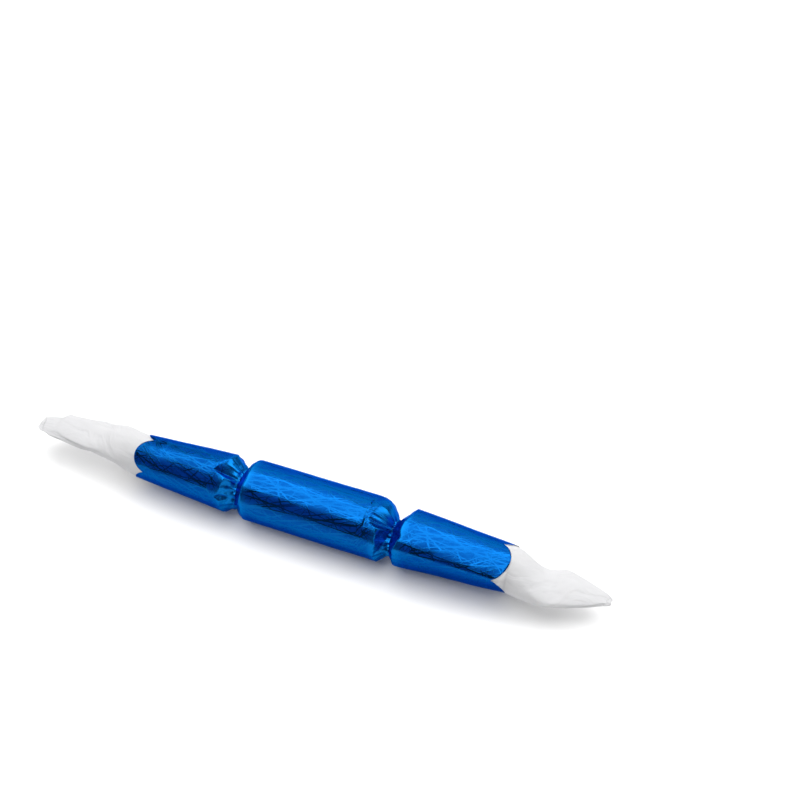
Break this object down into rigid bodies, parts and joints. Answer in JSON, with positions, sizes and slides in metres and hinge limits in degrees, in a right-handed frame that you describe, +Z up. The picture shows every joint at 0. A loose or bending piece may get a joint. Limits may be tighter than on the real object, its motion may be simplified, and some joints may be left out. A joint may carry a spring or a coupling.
{
  "type": "christmas cracker",
  "caption": "Foil-wrapped table cracker: round barrel, pleated chokes, scalloped ends with white tissue tails, and a pull-apart snap with a hat, motto and gift inside.",
  "frame": {"origin": "on the surface that it lies on, below the middle of its whole length from tail tip to tail tip", "axes": "+X along the cracker towards the shorter tail, +Y to the back where the lap seam is, +Z up"},
  "size_m": [0.294, 0.03, 0.0299],
  "materials": {
    "blue_foil": "metallised gloss, embossed with fine lines",
    "white_tissue": "thin, soft and translucent",
    "grey_card": "matt",
    "snap_card": "matt",
    "plain_paper": "matt",
    "compound": "dry compound",
    "abrasive": "gritty",
    "glue": "dried glue",
    "hat_tissue": "soft tissue",
    "red_plastic": "gloss",
    "spindle_wood": "plain"
  },
  "bodies": {
    "barrel": {"wrapper_barrel": "blue_foil", "tissue_barrel": "white_tissue", "barrel_tube": "grey_card"},
    "left_end": {"wrapper_left_end": "blue_foil", "tissue_left_tail": "white_tissue", "snap_strip_left": "snap_card", "snap_glue_left": "glue", "snap_charge": "compound", "snap_band": "plain_paper"},
    "right_end": {"wrapper_right_end": "blue_foil", "tissue_right_tail": "white_tissue", "snap_strip_right": "snap_card", "snap_glue_right": "glue", "snap_striker": "abrasive"},
    "hat": {"paper_hat": "hat_tissue"},
    "motto": {"motto_slip": "plain_paper"},
    "spinning_top": {"top_disc": "red_plastic", "top_spindle": "spindle_wood"}
  },
  "joints": [
    {"name": "left_pull", "type": "slide", "parent": "barrel", "child": "left_end", "axis": [-1, 0, 0], "range_m": [0, 0.09]},
    {"name": "right_pull", "type": "slide", "parent": "barrel", "child": "right_end", "axis": [1, 0, 0], "range_m": [0, 0.09]},
    {"name": "hat_slide", "type": "slide", "parent": "barrel", "child": "hat", "axis": [1, 0, 0], "range_m": [-0.003, 0.003]},
    {"name": "motto_slide", "type": "slide", "parent": "barrel", "child": "motto", "axis": [1, 0, 0], "range_m": [-0.003, 0.003]},
    {"name": "top_slide", "type": "slide", "parent": "barrel", "child": "spinning_top", "axis": [1, 0, 0], "range_m": [-0.003, 0.003]}
  ]
}
